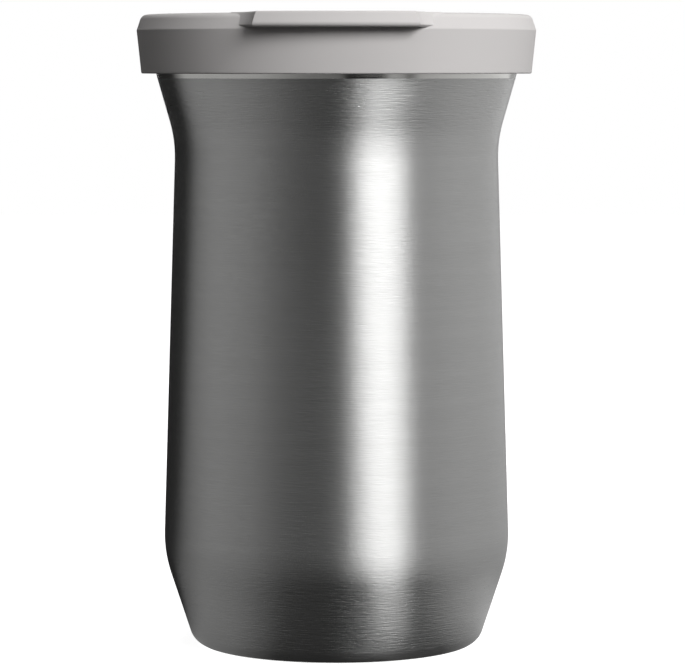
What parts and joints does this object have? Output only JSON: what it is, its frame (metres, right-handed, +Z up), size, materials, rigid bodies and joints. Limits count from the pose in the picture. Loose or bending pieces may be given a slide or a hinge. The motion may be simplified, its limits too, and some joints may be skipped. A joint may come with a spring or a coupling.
{
  "type": "insulated mate cup with lid",
  "caption": "Double-walled steel cup with a flared mouth, a waist and a tapered foot, closed by a press-in lid with a pull tab.",
  "frame": {"origin": "on the cup's axis, in the plane that the foot ring stands on", "axes": "+Z up along the cup's axis, -Y towards the lid's pull tab, which is the side that the picture shows"},
  "size_m": [0.08, 0.0837, 0.127],
  "materials": {
    "brushed_steel": "fine grain brushed around the cup",
    "satin_steel": "satin, polished at the lip",
    "base_steel": "dull pressed",
    "solder_glass": "glossy dark drop",
    "getter_metal": "sintered",
    "lid_plastic": "fine matte texture, warm light grey",
    "plug_plastic": "smooth matte",
    "silicone": "translucent grey silicone"
  },
  "bodies": {
    "cup": {"outer_shell": "brushed_steel", "inner_liner": "satin_steel", "base_cap": "base_steel", "seal_bead": "solder_glass", "getter": "getter_metal"},
    "lid": {"lid_cap": "lid_plastic", "lid_plug": "plug_plastic", "lid_gasket": "silicone"}
  },
  "joints": [
    {"name": "lid_lift", "type": "slide", "parent": "cup", "child": "lid", "axis": [0, 0, 1], "range_m": [0, 0.1]}
  ]
}
